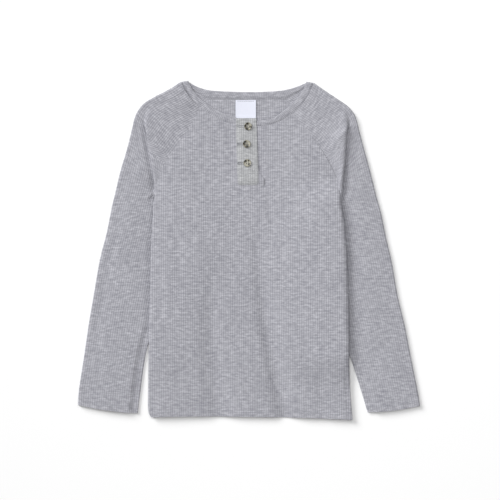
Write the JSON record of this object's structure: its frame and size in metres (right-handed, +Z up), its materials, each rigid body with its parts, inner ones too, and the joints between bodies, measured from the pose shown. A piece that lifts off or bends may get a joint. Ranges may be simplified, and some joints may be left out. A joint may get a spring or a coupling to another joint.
{
  "type": "child's long-sleeved raglan henley shirt, laid out flat",
  "caption": "Long-sleeved raglan henley shirt in marl rib knit, laid out flat face up, with a neckband, a buttoned placket, a blank neck label and turned hems",
  "frame": {"origin": "under the middle of the laid-out shirt, on the surface it lies on", "axes": "+X towards the wearer's left sleeve, +Y towards the neck, +Z up out of the surface"},
  "size_m": [0.4618, 0.4575, 0.0106],
  "materials": {
    "knit": "light grey marl cotton rib knit with a fine waffle face, matt",
    "label": "white satin ribbon, blank",
    "button": "horn-effect polyester, polished, mottled dark brown and amber"
  },
  "bodies": {
    "root": {"front": "knit", "back": "knit", "sleeve_left": "knit", "sleeve_right": "knit", "neckband": "knit", "placket": "knit", "placket_under": "knit", "neck_label": "label", "button_1": "button", "button_2": "button", "button_3": "button"}
  },
  "joints": []
}
